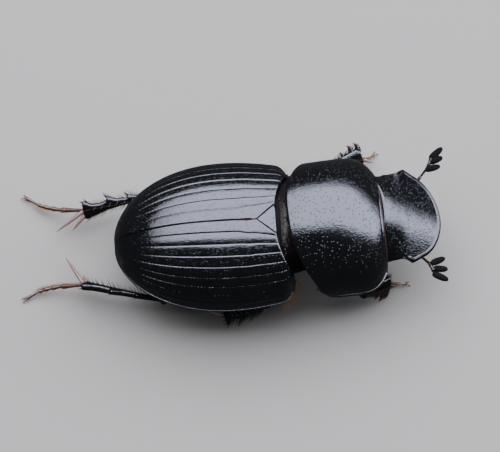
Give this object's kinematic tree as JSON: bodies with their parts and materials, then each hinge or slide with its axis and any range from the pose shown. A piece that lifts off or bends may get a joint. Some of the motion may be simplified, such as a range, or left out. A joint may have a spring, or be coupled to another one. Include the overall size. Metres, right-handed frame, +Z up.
{
  "type": "dung beetle",
  "caption": "Black dung beetle with grooved wing cases, a smooth rounded head and leafy feelers, standing still on its feet.",
  "frame": {"origin": "on the floor under the middle of the whole outline, feet and feelers included", "axes": "+X towards the head along the body, +Y to the beetle's left, +Z up"},
  "size_m": [0.0156, 0.0069, 0.0044],
  "materials": {
    "black_shell": "polished black chitin, finely punctured",
    "black_underside": "semi-gloss black-brown chitin",
    "waist_membrane": "dull brown-grey joint skin with short hairs",
    "black_leg": "glossy black-brown chitin",
    "chestnut_foot": "glossy chestnut-brown chitin",
    "feeler_club": "dull dark brown, finely haired",
    "eye": "glossy black, finely faceted"
  },
  "bodies": {
    "root": {"abdomen": "black_underside", "antenna_left_club": "feeler_club", "antenna_left_stalk": "chestnut_foot", "antenna_right_club": "feeler_club", "antenna_right_stalk": "chestnut_foot", "elytron_left": "black_shell", "elytron_right": "black_shell", "eye_left": "eye", "eye_right": "eye", "fore_left_coxa": "black_leg", "fore_left_femur": "black_leg", "fore_left_tarsus": "chestnut_foot", "fore_left_tibia": "black_leg", "fore_right_coxa": "black_leg", "fore_right_femur": "black_leg", "fore_right_tarsus": "chestnut_foot", "fore_right_tibia": "black_leg", "head": "black_shell", "hind_left_coxa": "black_leg", "hind_left_femur": "black_leg", "hind_left_tarsus": "chestnut_foot", "hind_left_tibia": "black_leg", "hind_right_coxa": "black_leg", "hind_right_femur": "black_leg", "hind_right_tarsus": "chestnut_foot", "hind_right_tibia": "black_leg", "mesothorax": "waist_membrane", "metathorax": "black_underside", "mid_left_coxa": "black_leg", "mid_left_femur": "black_leg", "mid_left_tarsus": "chestnut_foot", "mid_left_tibia": "black_leg", "mid_right_coxa": "black_leg", "mid_right_femur": "black_leg", "mid_right_tarsus": "chestnut_foot", "mid_right_tibia": "black_leg", "pronotum": "black_shell", "prothorax": "black_underside", "pygidium": "black_underside", "scutellum": "black_shell"}
  },
  "joints": []
}
